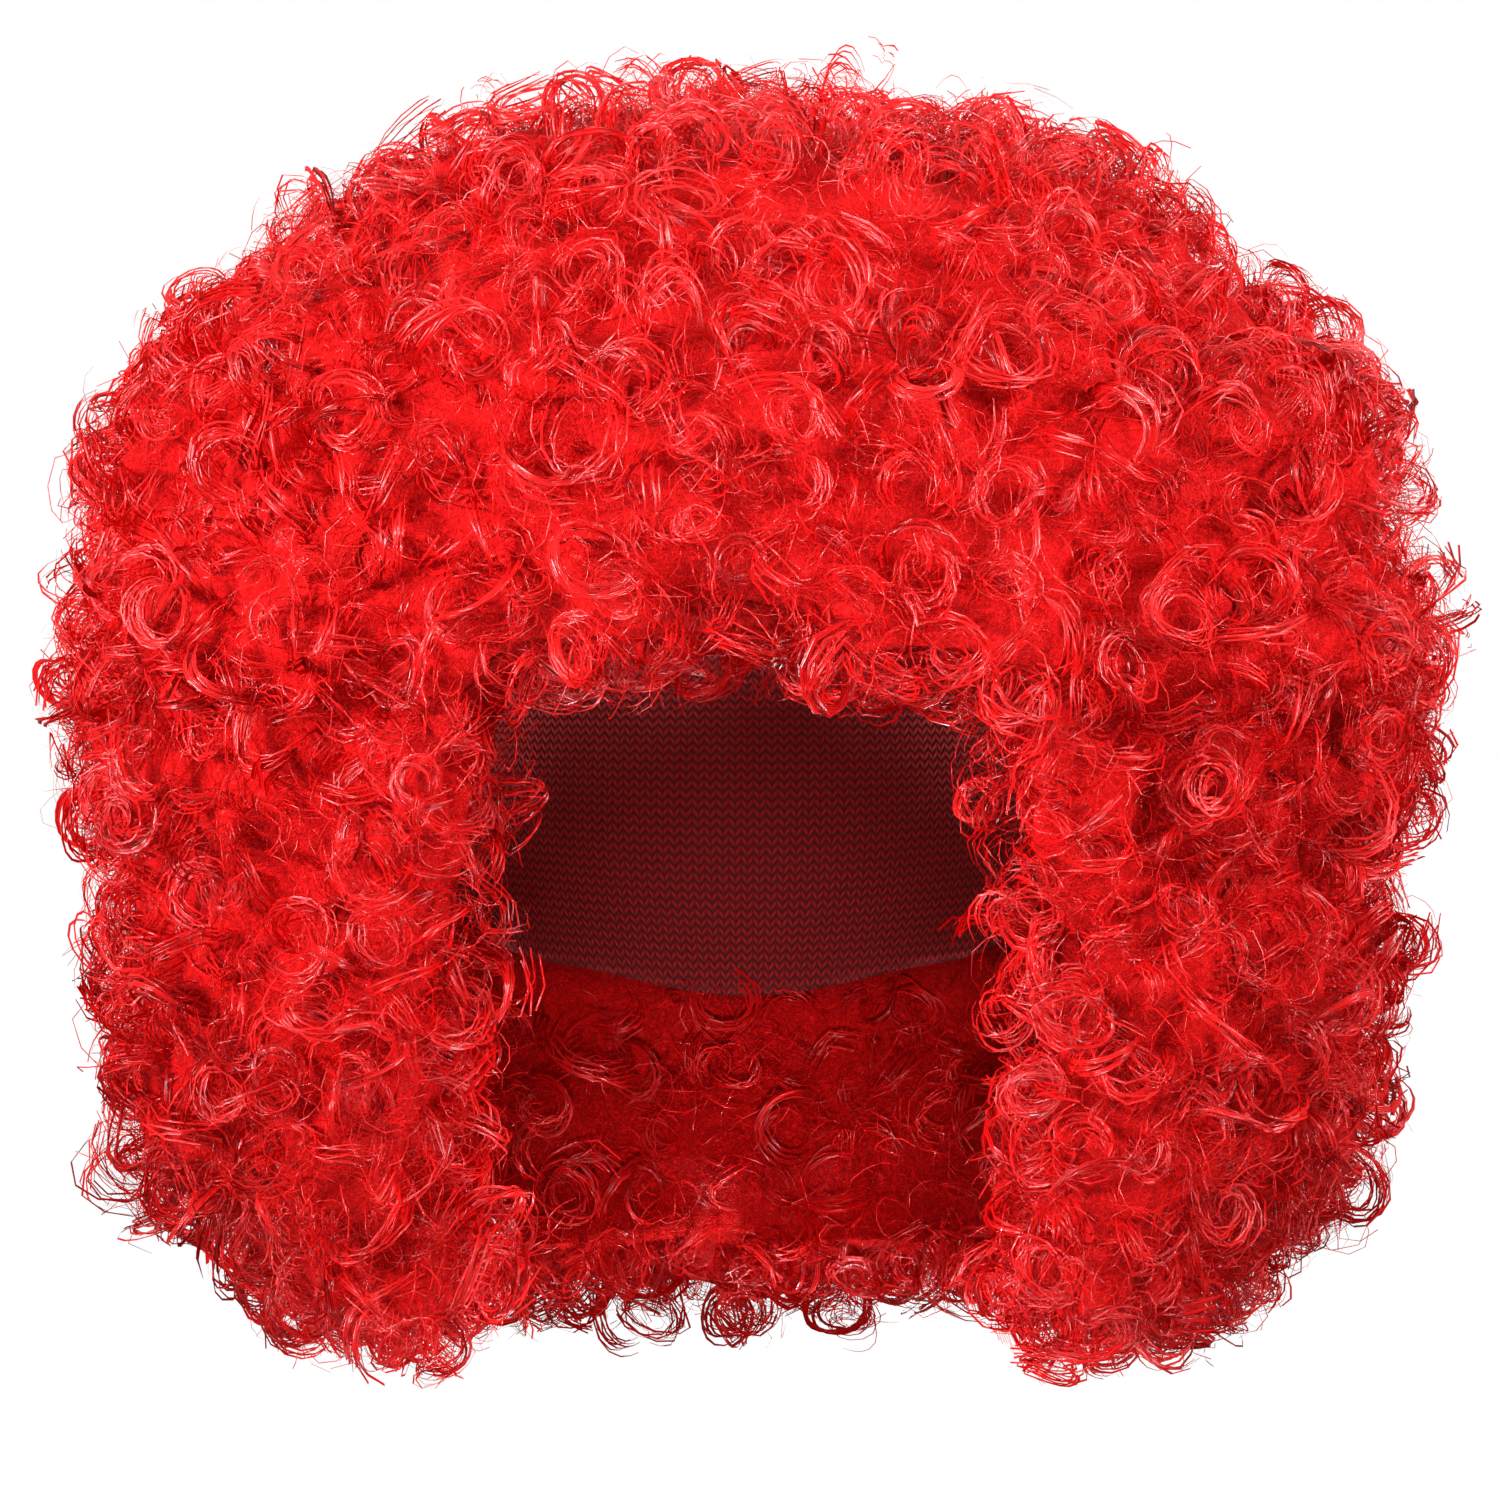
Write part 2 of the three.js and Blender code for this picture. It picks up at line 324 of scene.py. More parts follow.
@dataclass(frozen=True)
class UnderhairFinish:
    """Hair deep between the curls: matt, in swirling streaks.

    Shade is painted into the crevices between the streaks.
    """

    name: str = "deep_red_underhair"
    # Painted shade in the crevices between the streaks.
    crevice: Colour = (0.60, 0.002, 0.003)
    streak: Colour = (0.96, 0.007, 0.008)
    streak_size: float = 2.4 * MM
    detail: float = 3.0
    swirl: float = 5.0
    contrast: float = 4.0
    relief: float = 1.4 * MM
    roughness: float = 0.6
    gloss: float = 0.12

    def material(self) -> bpy.types.Material:
        """Makes the material.

        Returns:
            The material.
        """
        sheet = MaterialSheet(self.name)
        streaks = sheet.clouds(self.streak_size, self.detail, self.swirl)
        # Painted shade: the streak pattern darkens to the crevice colour between the streaks.
        share = ((streaks - 0.5) * self.contrast + 0.5).clamped()
        inputs = {
            "Base Color": sheet.mixed(share, self.crevice, self.streak),
            "Normal": sheet.raised(streaks, self.relief),
            "Roughness": self.roughness,
            "Specular IOR Level": self.gloss,
        }
        return sheet.shaded(inputs)


@dataclass(frozen=True)
class KnitFinish:
    """Matt stretch knit: its stitches are rows of V shapes that climb to the crown in columns.

    Shade is painted into the valleys between the loops.
    """

    name: str = "dark_red_knit"
    # Painted shade in the valleys between the loops.
    valley: Colour = (0.10, 0.003, 0.004)
    loop: Colour = (0.52, 0.012, 0.016)
    courses: int = 280
    columns: int = 200
    slant: float = 4.5
    column_edge: float = 0.5
    dome_middle: float = -80 * MM
    relief: float = 0.6 * MM
    relief_strength: float = 0.8
    roughness: float = 0.85

    def material(self) -> bpy.types.Material:
        """Makes the material.

        Returns:
            The material.
        """
        sheet = MaterialSheet(self.name)
        x, y, z = sheet.split(sheet.object_place())
        climb = sheet.math("ARCTAN2", z - self.dome_middle, (x * x + y * y) ** 0.5)
        around = sheet.math("ARCTAN2", x, y)
        # The way across a column, from its edge to its middle and back: 0, 0.5, 0.
        side = sheet.math("PINGPONG", around * (self.columns / (2 * math.pi)), 0.5)
        stitch = (climb * self.courses - side * (2 * self.slant)).sine() * 0.5 + 0.5
        loops = stitch * (side * (2 * math.pi)).sine() ** self.column_edge
        # Painted shade: the colour darkens from the loops into the valleys between them.
        inputs = {
            "Base Color": sheet.mixed(loops.clamped(), self.valley, self.loop),
            "Normal": sheet.raised(loops, self.relief, self.relief_strength),
            "Roughness": self.roughness,
        }
        return sheet.shaded(inputs)


@dataclass(frozen=True)
class FloorFinish:
    """Pale studio floor with a faint grain and a glow that keeps it pale without a strong light."""

    name: str = "pale_floor"
    pale: Colour = (0.80, 0.80, 0.80)
    grain: Colour = (0.76, 0.76, 0.76)
    grain_size: float = 25 * MM
    detail: float = 3.0
    roughness: float = 0.9
    glow: float = 0.30

    def material(self) -> bpy.types.Material:
        """Makes the material.

        Returns:
            The material.
        """
        sheet = MaterialSheet(self.name)
        inputs = {
            "Base Color": sheet.mixed(sheet.clouds(self.grain_size, self.detail), self.pale, self.grain),
            "Roughness": self.roughness,
            "Emission Color": WHITE,
            "Emission Strength": self.glow,
        }
        return sheet.shaded(inputs)


class Sense(Enum):
    """The way round that a fibre winds."""

    LEFT = 1
    RIGHT = -1


@dataclass(frozen=True)
class Strand:
    """One curled fibre: a ribbon that climbs out of the hair and winds round the axis of its lock.

    It climbs by its rise in each turn, from a root at its depth below the surface. By its tip it has lost
    the closing share of its radius. Its lie turns the ribbon about its own length, and its wobble makes the
    curl uneven, to the side and up. The steps are longer at the root, which is hidden.
    """

    radius: float
    turns: float
    rise: float
    depth: float
    closing: float
    width: float
    steps: int
    sense: Sense
    phase: float
    lie: float
    wobble: float
    oval: float
    wobble_waves: Span = (3.1, 2.3)
    root_share: float = 0.3
    root_stride: float = 0.35
    tip_share: float = 0.2
    thin_tip: float = 0.35

    def ways(self) -> np.ndarray:
        """Gives the share of the fibre's length at each step."""
        step = np.linspace(0.0, 1.0, self.steps + 1)
        return step + self.root_stride * step * (1 - step)

    def path(self) -> np.ndarray:
        """Winds the fibre's middle line.

        Returns:
            The points along it, root first.
        """
        way = self.ways()
        angle = self.phase + self.sense.value * 2 * math.pi * self.turns * way
        side_wave, up_wave = self.wobble_waves
        uneven = 1 + self.wobble * np.sin(side_wave * angle + self.phase)
        reach = self.radius * (1 - self.closing * way) * uneven
        out = np.clip(way / self.root_share, 0.0, 1.0)
        height = self.rise * self.turns * way - self.depth * (1 - out) ** 2
        height += self.radius * self.wobble * np.sin(up_wave * angle)
        return np.stack([reach * np.cos(angle), self.oval * reach * np.sin(angle), height], axis=1)

    def mesh(self, name: str) -> bpy.types.Mesh:
        """Makes the ribbon: two points at each step, one on each edge.

        Args:
            name: The mesh's name.

        Returns:
            The mesh.
        """
        middle = self.path()
        along = np.gradient(middle, axis=0)
        along /= np.linalg.norm(along, axis=1, keepdims=True)
        outward = middle * (1.0, 1.0, 0.0)
        outward /= np.linalg.norm(outward, axis=1, keepdims=True)
        across = np.cross(along, outward)
        edge = math.cos(self.lie) * outward + math.sin(self.lie) * across
        half = self.width / 2 * np.clip((1 - self.ways()) / self.tip_share, self.thin_tip, 1.0)
        points = np.stack([middle - edge * half[:, None], middle + edge * half[:, None]], axis=1)
        faces = [(2 * i, 2 * i + 1, 2 * i + 3, 2 * i + 2) for i in range(self.steps)]
        mesh = bpy.data.meshes.new(name)
        mesh.from_pydata(points.reshape(-1, 3).tolist(), [], faces)
        return mesh


@dataclass(frozen=True)
class Variation:
    """How the fibres of one lock differ.

    Radius, turns, rise, width and wobble are factors, closing is added, and phase, lie and oval are the
    fibre's own.
    """

    radius: Span = (0.93, 1.07)
    turns: Span = (0.94, 1.06)
    rise: Span = (0.8, 1.2)
    closing: Span = (-0.06, 0.06)
    width: Span = (0.85, 1.15)
    phase: Span = (-0.3, 0.3)
    lie: Span = (-1.3, 1.3)
    wobble: Span = (0.4, 1.0)
    oval: Span = (0.78, 1.0)


@dataclass(frozen=True)
class StrandSet:
    """The fibres that a scatter picks from: kinds of lock, each with a few variants of its fibre."""

    name: str
    kinds: int
    variants: int
    steps: int
    width: float
    radius: Span
    turns: Span
    rise: Span
    depth: Span
    closing: Span
    wobble: float
    seed: int
    variation: Variation = Variation()

    def collection(self) -> bpy.types.Collection:
        """Makes one object for each fibre, kind by kind.

        Returns:
            A collection of them, outside the scene.
        """
        draw = np.random.default_rng(self.seed)
        vary = self.variation
        group = bpy.data.collections.new(self.name)
        for kind in range(self.kinds):
            sense = Sense.LEFT if kind % 2 else Sense.RIGHT
            spans = (self.radius, self.turns, self.rise, self.depth, self.closing)
            radius, turns, rise, depth, closing = (draw.uniform(*span) for span in spans)
            for variant in range(self.variants):
                strand = Strand(
                    radius=radius * draw.uniform(*vary.radius),
                    turns=turns * draw.uniform(*vary.turns),
                    rise=rise * draw.uniform(*vary.rise),
                    depth=depth,
                    closing=closing + draw.uniform(*vary.closing),
                    width=self.width * draw.uniform(*vary.width),
                    steps=self.steps,
                    sense=sense,
                    phase=draw.uniform(*vary.phase),
                    lie=draw.uniform(*vary.lie),
                    wobble=self.wobble * draw.uniform(*vary.wobble),
                    oval=draw.uniform(*vary.oval),
                )
                label = f"{self.name}_{kind:02d}_{variant:02d}"
                group.objects.link(bpy.data.objects.new(label, strand.mesh(label)))
        return group


@dataclass(frozen=True)
class GrowthSizes:
    """The sizes that a growth tree takes: each field is one of the tree's named inputs."""

    @staticmethod
    def label(name: str) -> str:
        """Turns a field's name into the input's name."""
        return name.replace("_", " ").title()

    @classmethod
    def sockets(cls) -> dict[str, str]:
        """Gives the type of each input, by its name."""
        kinds = {int: "NodeSocketInt", float: "NodeSocketFloat"}
        return {cls.label(size.name): kinds[size.type] for size in fields(cls)}

    def inputs(self) -> dict[str, float]:
        """Gives the value of each input, by its name."""
        return {self.label(name): size for name, size in vars(self).items()}


@dataclass(frozen=True)
class LockSizes(GrowthSizes):
    """How locks grow: the least distance between two, the fibres in one, their sizes and how far they tilt.

    A fibre may lean and spin away from its lock, and it strays by up to the band from the lock's middle.
    """

    spacing: float
    fibres: int
    smallest: float
    largest: float
    tilt: float
    loose_lean: float
    loose_spin: float
    band: float


@dataclass(frozen=True)
class FrizzSizes(GrowthSizes):
    """How frizz grows: its fibres in a square metre, their sizes and how far off the surface they start."""

    density: float
    smallest: float
    largest: float
    lowest: float
    highest: float


class Draw(Enum):
    """The random draws of the growth trees, each with a seed of its own."""

    LOCK_TURN = 1
    LOCK_SIZE = 2
    LOCK_TONE = 3
    LOCK_KIND = 4
    FIBRE_TONE = 5
    FIBRE_STRAY = 6
    FIBRE_TURN = 7
    FIBRE_SIZE = 8
    FIBRE_VARIANT = 9
    FRIZZ_HEIGHT = 11
    FRIZZ_TONE = 12
    FRIZZ_TURN = 13
    FRIZZ_SIZE = 14
    FRIZZ_FIBRE = 15


class GrowthTree(NodeSheet):
    """A Geometry Nodes tree that grows fibres on a surface."""

    SIZES: type[GrowthSizes] = GrowthSizes

    def __init__(self, name: str) -> None:
        """Makes the tree with its named inputs and fills it.

        Args:
            name: The tree's name.
        """
        super().__init__(bpy.data.node_groups.new(name, "GeometryNodeTree"))
        interface = self.tree.interface
        sockets = {
            "Surface": "NodeSocketGeometry",
            **self.SIZES.sockets(),
            "Kinds": "NodeSocketInt",
            "Variants": "NodeSocketInt",
            "Seed": "NodeSocketInt",
            "Strands": "NodeSocketCollection",
            "Fibre": "NodeSocketMaterial",
        }
        self.ids = {
            label: interface.new_socket(label, in_out="INPUT", socket_type=kind).identifier
            for label, kind in sockets.items()
        }
        interface.new_socket("Hair", in_out="OUTPUT", socket_type="NodeSocketGeometry")
        self.given = self.node("NodeGroupInput").outputs
        self.fill()

    def fill(self) -> None:
        """Adds the nodes between the tree's inputs and its output."""
        raise NotImplementedError

    def number(self, label: str) -> Value:
        """Gives one of the tree's inputs as a number."""
        return Value(self, self.given[label])

    def random(self, kind: str, low: Any, high: Any, draw: Draw) -> bpy.types.NodeSocket:
        """Gives each point a random FLOAT, INT or FLOAT_VECTOR between low and high."""
        inputs = {"Min": low, "Max": high, "Seed": draw.value}
        return self.out("FunctionNodeRandomValue", "Value", {"data_type": kind}, inputs)

    def spread(self, x: Any, y: Any, z: Any, draw: Draw) -> bpy.types.NodeSocket:
        """Adds a random vector that reaches a size to each side.

        Args:
            x: The size along X.
            y: The size along Y.
            z: The size along Z.
            draw: Which draw it is.

        Returns:
            The vector.
        """
        unit = self.random("FLOAT_VECTOR", (-1.0, -1.0, -1.0), (1.0, 1.0, 1.0), draw)
        reach = self.out("ShaderNodeCombineXYZ", "Vector", None, {"X": x, "Y": y, "Z": z})
        return self.out("ShaderNodeVectorMath", "Vector", {"operation": "MULTIPLY"}, {0: unit, 1: reach})

    def turned(self, rotation: Any, angles: bpy.types.NodeSocket) -> bpy.types.NodeSocket:
        """Turns a rotation further, about its own axes.

        Args:
            rotation: The rotation to start from.
            angles: The angles about X, Y and Z.

        Returns:
            The new rotation.
        """
        further = self.out("FunctionNodeEulerToRotation", "Rotation", None, {"Euler": angles})
        inputs = {"Rotation": rotation, "Rotate By": further}
        return self.out("FunctionNodeRotateRotation", "Rotation", {"rotation_space": "LOCAL"}, inputs)

    def moved(self, points: Any, offset: bpy.types.NodeSocket) -> bpy.types.NodeSocket:
        """Gives the points moved by an offset."""
        return self.out("GeometryNodeSetPosition", "Geometry", None, {"Geometry": points, "Offset": offset})

    def keep(self, points: Any, name: str, kind: str, value: Any) -> bpy.types.NodeSocket:
        """Stores a value on the points.

        Args:
            points: The points.
            name: The name to store it under.
            kind: The value's type.
            value: The value.

        Returns:
            The points with the value.
        """
        inputs = {"Geometry": points, "Name": name, "Value": value}
        settings = {"data_type": kind, "domain": "POINT"}
        return self.out("GeometryNodeStoreNamedAttribute", "Geometry", settings, inputs)

    def kept(self, name: str, kind: str) -> bpy.types.NodeSocket:
        """Reads a value that keep() stored."""
        return self.out("GeometryNodeInputNamedAttribute", "Attribute", {"data_type": kind}, {"Name": name})

    def plant(self, points: Any, index: Any, rotation: Any, scale: Any) -> None:
        """Puts a fibre on each point and ends the tree.

        Args:
            points: The points.
            index: Which fibre of the set each point takes.
            rotation: How each fibre is turned.
            scale: The size of each fibre.
        """
        inputs = {"Collection": self.given["Strands"], "Separate Children": True, "Reset Children": True}
        fibres = self.out("GeometryNodeCollectionInfo", "Instances", None, inputs)
        inputs = {
            "Points": points,
            "Instance": fibres,
            "Pick Instance": True,
            "Instance Index": index,
            "Rotation": rotation,
            "Scale": scale,
        }
        planted = self.out("GeometryNodeInstanceOnPoints", "Instances", None, inputs)
        real = self.out("GeometryNodeRealizeInstances", "Geometry", None, {"Geometry": planted})
        inputs = {"Geometry": real, "Material": self.given["Fibre"]}
        dressed = self.out("GeometryNodeSetMaterial", "Geometry", None, inputs)
        self.node("NodeGroupOutput", None, {"Hair": dressed})

    def grow(self, surface: bpy.types.Object, inputs: dict[str, Any]) -> bpy.types.Mesh:
        """Runs the tree on a surface.

        Args:
            surface: The object that the fibres stand on.
            inputs: A value for each of the tree's inputs.

        Returns:
            The fibres as a plain mesh.
        """
        modifier = surface.modifiers.new(self.tree.name, "NODES")
        modifier.node_group = self.tree
        for label, value in inputs.items():
            modifier[self.ids[label]] = value
        mesh = evaluated(surface)
        surface.modifiers.remove(modifier)
        return mesh


class BundledLocks(GrowthTree):
    """Locks of curled hair: each lock is a bundle of fibres that wind round the same axis."""

    SIZES = LockSizes
    DENSEST = 60000.0
    LOCK_TONE_SHARE = 0.55
    FIBRE_SIZES: Span = (0.84, 1.12)

    def fill(self) -> None:
        """Splits each lock into fibres and lets those stray a little."""
        given = self.given
        inputs = {"Geometry": self.locks(), "Amount": given["Fibres"]}
        bundle = self.out("GeometryNodeDuplicateElements", "Geometry", {"domain": "POINT"}, inputs)
        lock_tone = Value(self, self.kept("lock_tone", "FLOAT"))
        own_tone = Value(self, self.random("FLOAT", 0.0, 1.0, Draw.FIBRE_TONE))
        tone = lock_tone * self.LOCK_TONE_SHARE + own_tone * (1 - self.LOCK_TONE_SHARE)
        bundle = self.keep(bundle, "fibre_tone", "FLOAT", tone)
        turn = self.kept("lock_turn", "QUATERNION")
        stray = self.spread(given["Band"], given["Band"], given["Band"], Draw.FIBRE_STRAY)
        stray = self.out("FunctionNodeRotateVector", "Vector", None, {"Vector": stray, "Rotation": turn})
        bundle = self.moved(bundle, stray)
        loose = self.spread(given["Loose Lean"], given["Loose Lean"], given["Loose Spin"], Draw.FIBRE_TURN)
        own_size = Value(self, self.random("FLOAT", *self.FIBRE_SIZES, Draw.FIBRE_SIZE))
        scale = Value(self, self.kept("lock_size", "FLOAT")) * own_size
        variants = self.number("Variants")
        variant = Value(self, self.random("INT", 0, variants - 1.0, Draw.FIBRE_VARIANT))
        index = Value(self, self.kept("lock_kind", "INT")) * variants + variant
        self.plant(bundle, index, self.turned(turn, loose), scale)

    def locks(self) -> bpy.types.NodeSocket:
        """Scatters the locks.

        Returns:
            A point for each, with the lock's turn, size, tone and kind stored on it.
        """
        given = self.given
        inputs = {
            "Mesh": given["Surface"],
            "Distance Min": given["Spacing"],
            "Density Max": self.DENSEST,
            "Density Factor": self.kept("hair_share", "FLOAT"),
            "Seed": given["Seed"],
        }
        scatter = self.node("GeometryNodeDistributePointsOnFaces", {"distribute_method": "POISSON"}, inputs)
        upright = {"Vector": scatter.outputs["Normal"]}
        stand = self.out("FunctionNodeAlignRotationToVector", "Rotation", {"axis": "Z"}, upright)
        lean = self.spread(given["Tilt"], given["Tilt"], math.pi, Draw.LOCK_TURN)
        points = self.keep(scatter.outputs["Points"], "lock_turn", "QUATERNION", self.turned(stand, lean))
        size = self.random("FLOAT", given["Smallest"], given["Largest"], Draw.LOCK_SIZE)
        points = self.keep(points, "lock_size", "FLOAT", size)
        points = self.keep(points, "lock_tone", "FLOAT", self.random("FLOAT", 0.0, 1.0, Draw.LOCK_TONE))
        kind = self.random("INT", 0, self.number("Kinds") - 1.0, Draw.LOCK_KIND)
        return self.keep(points, "lock_kind", "INT", kind)


class Frizz(GrowthTree):
    """Single fibres that stand every way between the locks."""

    SIZES = FrizzSizes

    def fill(self) -> None:
        """Scatters the fibres above and below the surface."""
        given = self.given
        inputs = {
            "Mesh": given["Surface"],
            "Density": self.number("Density") * Value(self, self.kept("hair_share", "FLOAT")),
            "Seed": given["Seed"],
        }
        scatter = self.node("GeometryNodeDistributePointsOnFaces", {"distribute_method": "RANDOM"}, inputs)
        height = self.random("FLOAT", given["Lowest"], given["Highest"], Draw.FRIZZ_HEIGHT)
        inputs = {0: scatter.outputs["Normal"], "Scale": height}
        lift = self.out("ShaderNodeVectorMath", "Vector", {"operation": "SCALE"}, inputs)
        points = self.moved(scatter.outputs["Points"], lift)
        points = self.keep(points, "fibre_tone", "FLOAT", self.random("FLOAT", 0.0, 1.0, Draw.FRIZZ_TONE))
        any_way = self.spread(math.pi, math.pi, math.pi, Draw.FRIZZ_TURN)
        turn = self.out("FunctionNodeEulerToRotation", "Rotation", None, {"Euler": any_way})
        scale = self.random("FLOAT", given["Smallest"], given["Largest"], Draw.FRIZZ_SIZE)
        last = self.number("Kinds") * self.number("Variants") - 1.0
        self.plant(points, self.random("INT", 0, last, Draw.FRIZZ_FIBRE), turn, scale)


def merged_copy(*nodes: str) -> bmesh.types.BMesh:
    """Copies CAD nodes into one mesh whose shared corners are merged.

    Args:
        nodes: The nodes' names.

    Returns:
        The copy.
    """
    copy = bmesh.new()
    for node in nodes:
        copy.from_mesh(frame["nodes"][node].data)
    bmesh.ops.remove_doubles(copy, verts=copy.verts, dist=MERGE_REACH)
    return copy


def mesh_of(sheet: bmesh.types.BMesh, name: str) -> bpy.types.Mesh:
    """Turns an edited mesh into a plain one and frees it.

    Args:
        sheet: The edited mesh.
        name: The plain mesh's name.

    Returns:
        The plain mesh.
    """
    mesh = bpy.data.meshes.new(name)
    sheet.to_mesh(mesh)
    sheet.free()
    return mesh


def new_object(name: str, mesh: bpy.types.Mesh) -> bpy.types.Object:
    """Puts a mesh into the scene.

    Args:
        name: The name of the object and the mesh.
        mesh: The mesh.

    Returns:
        The object.
    """
    mesh.name = name
    made = bpy.data.objects.new(name, mesh)
    bpy.context.scene.collection.objects.link(made)
    return made


def evaluated(shape: bpy.types.Object) -> bpy.types.Mesh:
    """Gives an object's mesh as its modifiers leave it."""
    depsgraph = bpy.context.evaluated_depsgraph_get()
    return bpy.data.meshes.new_from_object(shape.evaluated_get(depsgraph), depsgraph=depsgraph)


def dress(mesh: bpy.types.Mesh, material: bpy.types.Material) -> None:
    """Gives a mesh its one material and smooth shading.

    Args:
        mesh: The mesh.
        material: The material.
    """
    mesh.materials.clear()
    mesh.materials.append(material)
    mesh.polygons.foreach_set("use_smooth", np.ones(len(mesh.polygons), bool))


def settle(piece: bpy.types.Object, slot: str, *nodes: str) -> None:
    """Ties a finished piece to the frame and reports it.

    Args:
        piece: The piece.
        slot: The record's material slot; not used.
        nodes: The CAD nodes that it stands for.
    """
    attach(piece, BODY)
    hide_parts(*nodes)
    piece.data.calc_loop_triangles()
    log.info("%s: %d triangles", piece.name, len(piece.data.loop_triangles))


def swell(place: Vector, height: float = 8 * MM, size: float = 28 * MM) -> float:
    """Gives how far the hair stands out at a place: uneven heights, the same for every layer."""
    return height * noise.noise(place / size)


def facing_middle(vertex: bmesh.types.BMVert) -> float:
    """Gives how far a point's normal turns towards the middle from its side: 0 for away or across."""
    return max(0.0, -math.copysign(1.0, vertex.co.x) * vertex.normal.x)


def tree_of(node: str) -> BVHTree:
    """Makes a search tree of a CAD node's faces."""
    mesh = frame["nodes"][node].data
    return BVHTree.FromPolygons([v.co for v in mesh.vertices], [tuple(p.vertices) for p in mesh.polygons])


class HairSide(Enum):
    """Which side of the hair a face is on."""

    OUTSIDE = "outside"
    INSIDE = "inside"
    HIDDEN = "hidden"


@dataclass
class RowSurface:
    """The surface of a weft row that fibres stand on, sunk a little under the form of its solid.

    It lies deeper at the row's ends, beside the opening. Its edges may be cut first, for a finer border. A
    face is hidden when another solid is nearer than the wall gap, and inside when it turns to the hollow.
    """

    node: str
    side: HairSide = HairSide.OUTSIDE
    prefix: str = ""
    sink: float = 5 * MM
    end_sink: float = 9 * MM
    share: float = 1.0
    cuts: int = 0
    wall_gap: float = 4 * MM
    ray_start: float = 0.2 * MM
    facing_in: float = -0.5

    def side_of(self, face: bmesh.types.BMFace, others: list[BVHTree]) -> HairSide:
        """Tells which side a face is on.

        Args:
            face: A face of the row.
            others: Search trees of the other nodes.

        Returns:
            HIDDEN against another row or the cap, INSIDE towards the hollow, else OUTSIDE.
        """
        middle = face.calc_center_median()
        start = middle + face.normal * self.ray_start
        if any(tree.ray_cast(start, face.normal, self.wall_gap)[0] is not None for tree in others):
            return HairSide.HIDDEN
        level = Vector((middle.x, middle.y, 0.0))
        return HairSide.INSIDE if level.normalized().dot(face.normal) < self.facing_in else HairSide.OUTSIDE

    def build(self, trees: dict[str, BVHTree]) -> bpy.types.Object:
        """Makes the surface.

        Args:
            trees: Search trees of all nodes.

        Returns:
            An object with the density of hair stored on its points.
        """
        others = [tree for name, tree in trees.items() if name != self.node]
        sheet = merged_copy(self.node)
        if self.cuts:
            bmesh.ops.subdivide_edges(sheet, edges=sheet.edges, cuts=self.cuts, use_grid_fill=True)
        sheet.normal_update()
        spare = [face for face in sheet.faces if self.side_of(face, others) is not self.side]
        bmesh.ops.delete(sheet, geom=spare, context="FACES")
        sheet.normal_update()
        for vertex in sheet.verts:
            sink = self.sink + self.end_sink * facing_middle(vertex)
            vertex.co -= vertex.normal * (sink - swell(vertex.co))
        mesh = mesh_of(sheet, f"{self.node}_{self.side.value}")
        share = mesh.attributes.new("hair_share", "FLOAT", "POINT")
        share.data.foreach_set("value", np.full(len(mesh.vertices), self.share, np.float32))
        return new_object(mesh.name, mesh)


@dataclass
class FibreComb:
    """Gives grown fibres their map, which is left free at its margins, and rounded shading."""

    steps: int
    roundness: float
    row_margin: float = 0.1
    end_margin: float = 0.02
    spare: tuple[str, ...] = ("fibre_tone", "lock_tone", "lock_turn", "lock_size", "lock_kind")

    def comb(self, mesh: bpy.types.Mesh) -> None:
        """Writes the map and the normals, and removes what the growth left on the points.

        Args:
            mesh: Ribbons of this many steps, with two points at each step.
        """
        count = len(mesh.vertices)
        points = np.empty(count * 3, np.float32)
        mesh.vertices.foreach_get("co", points)
        tone = np.empty(count, np.float32)
        mesh.attributes["fibre_tone"].data.foreach_get("value", tone)
        points = points.reshape(-1, self.steps + 1, 2, 3)
        self.write_map(mesh, tone.reshape(points.shape[:3]))
        self.write_normals(mesh, points)
        for name in self.spare:
            if name in mesh.attributes:
                mesh.attributes.remove(mesh.attributes[name])

    def write_map(self, mesh: bpy.types.Mesh, tone: np.ndarray) -> None:
        """Lays each ribbon along the row of the map that has its tone.

        Args:
            mesh: The ribbons.
            tone: The tone at each point, by fibre, step and edge.
        """
        row = np.clip(np.floor(tone * TONE_ROWS), 0, TONE_ROWS - 1)
        edge = np.array([self.row_margin, 1 - self.row_margin])
        across = (row + edge[None, None, :]) / TONE_ROWS
        way = np.linspace(self.end_margin, 1 - self.end_margin, self.steps + 1)
        along = np.broadcast_to(way[None, :, None], across.shape)
        place = np.stack([along, across], axis=-1).reshape(-1, 2).astype(np.float32)
        corners = np.empty(len(mesh.loops), np.int32)
        mesh.loops.foreach_get("vertex_index", corners)
        layer = mesh.uv_layers.new(name=MAP_NAME)
        layer.uv.foreach_set("vector", place[corners].ravel())

    def write_normals(self, mesh: bpy.types.Mesh, points: np.ndarray) -> None:
        """Turns the normals at a ribbon's edges outwards, so that it shades as a round fibre.

        Args:
            mesh: The ribbons.
            points: The place of each point, by fibre, step and edge.
        """
        middle = points.mean(axis=2)
        along = np.gradient(middle, axis=1)
        across = points[:, :, 1] - points[:, :, 0]
        across /= np.linalg.norm(across, axis=2, keepdims=True)
        facing = np.cross(across, along)
        facing /= np.linalg.norm(facing, axis=2, keepdims=True)
        lift, bend = math.cos(self.roundness), math.sin(self.roundness)
        normals = np.stack([facing * lift - across * bend, facing * lift + across * bend], axis=2)
        mesh.polygons.foreach_set("use_smooth", np.ones(len(mesh.polygons), bool))
        mesh.normals_split_custom_set_from_vertices(normals.reshape(-1, 3).tolist())


